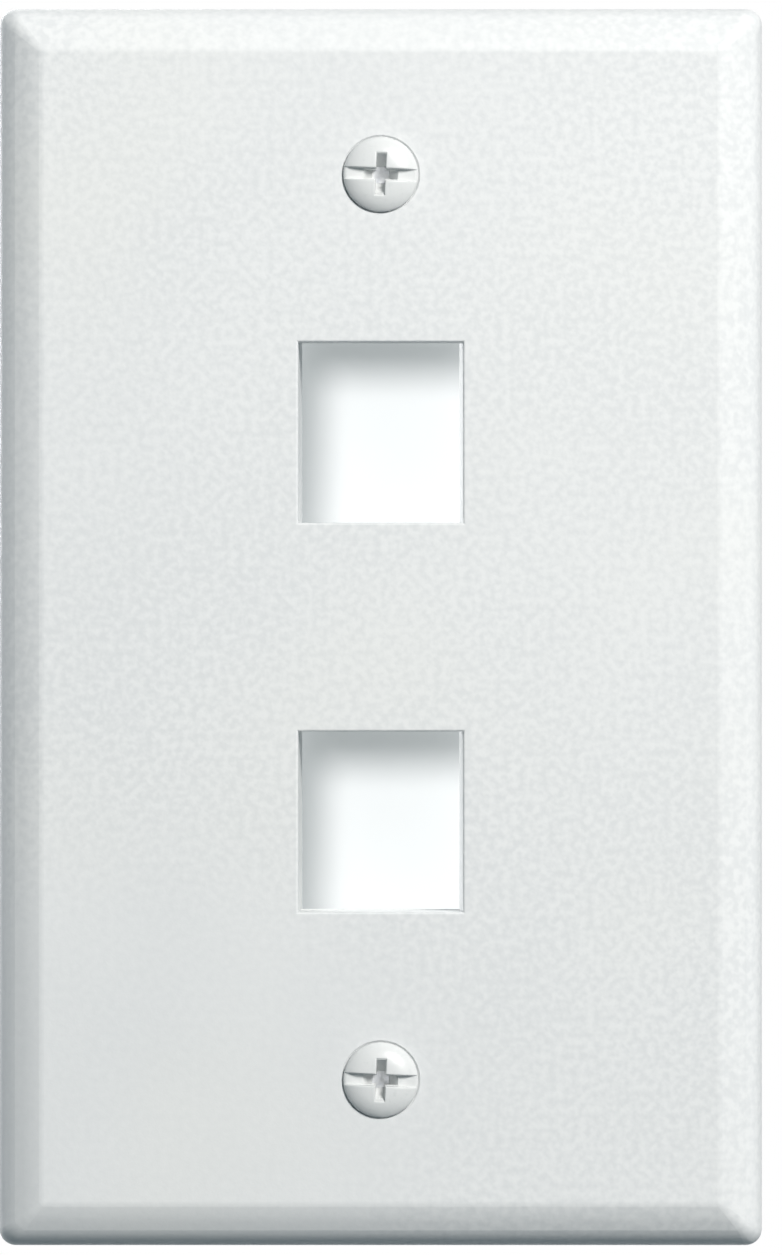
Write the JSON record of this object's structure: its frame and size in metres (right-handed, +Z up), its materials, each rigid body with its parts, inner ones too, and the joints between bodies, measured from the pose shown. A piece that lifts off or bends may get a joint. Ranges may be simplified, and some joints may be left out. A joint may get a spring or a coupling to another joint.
{
  "type": "keystone faceplate",
  "caption": "Upright single-gang wall plate with stacked snap-in ports for keystone jacks, held by oval-head screws.",
  "frame": {"origin": "middle of the plate on the wall plane, where the rear rim meets the wall", "axes": "+Z up the plate's height, +X to the right as seen from the room, +Y into the wall; the face looks towards -Y"},
  "size_m": [0.0706, 0.0266, 0.1142],
  "materials": {
    "plate_plastic": "cool white moulded plastic, fine satin grain on the face, smoother behind",
    "screw_paint": "steel screw with a glossy white painted head and bare zinc on the thread"
  },
  "bodies": {
    "root": {"faceplate": "plate_plastic", "lower_screw": "screw_paint", "upper_screw": "screw_paint"}
  },
  "joints": []
}
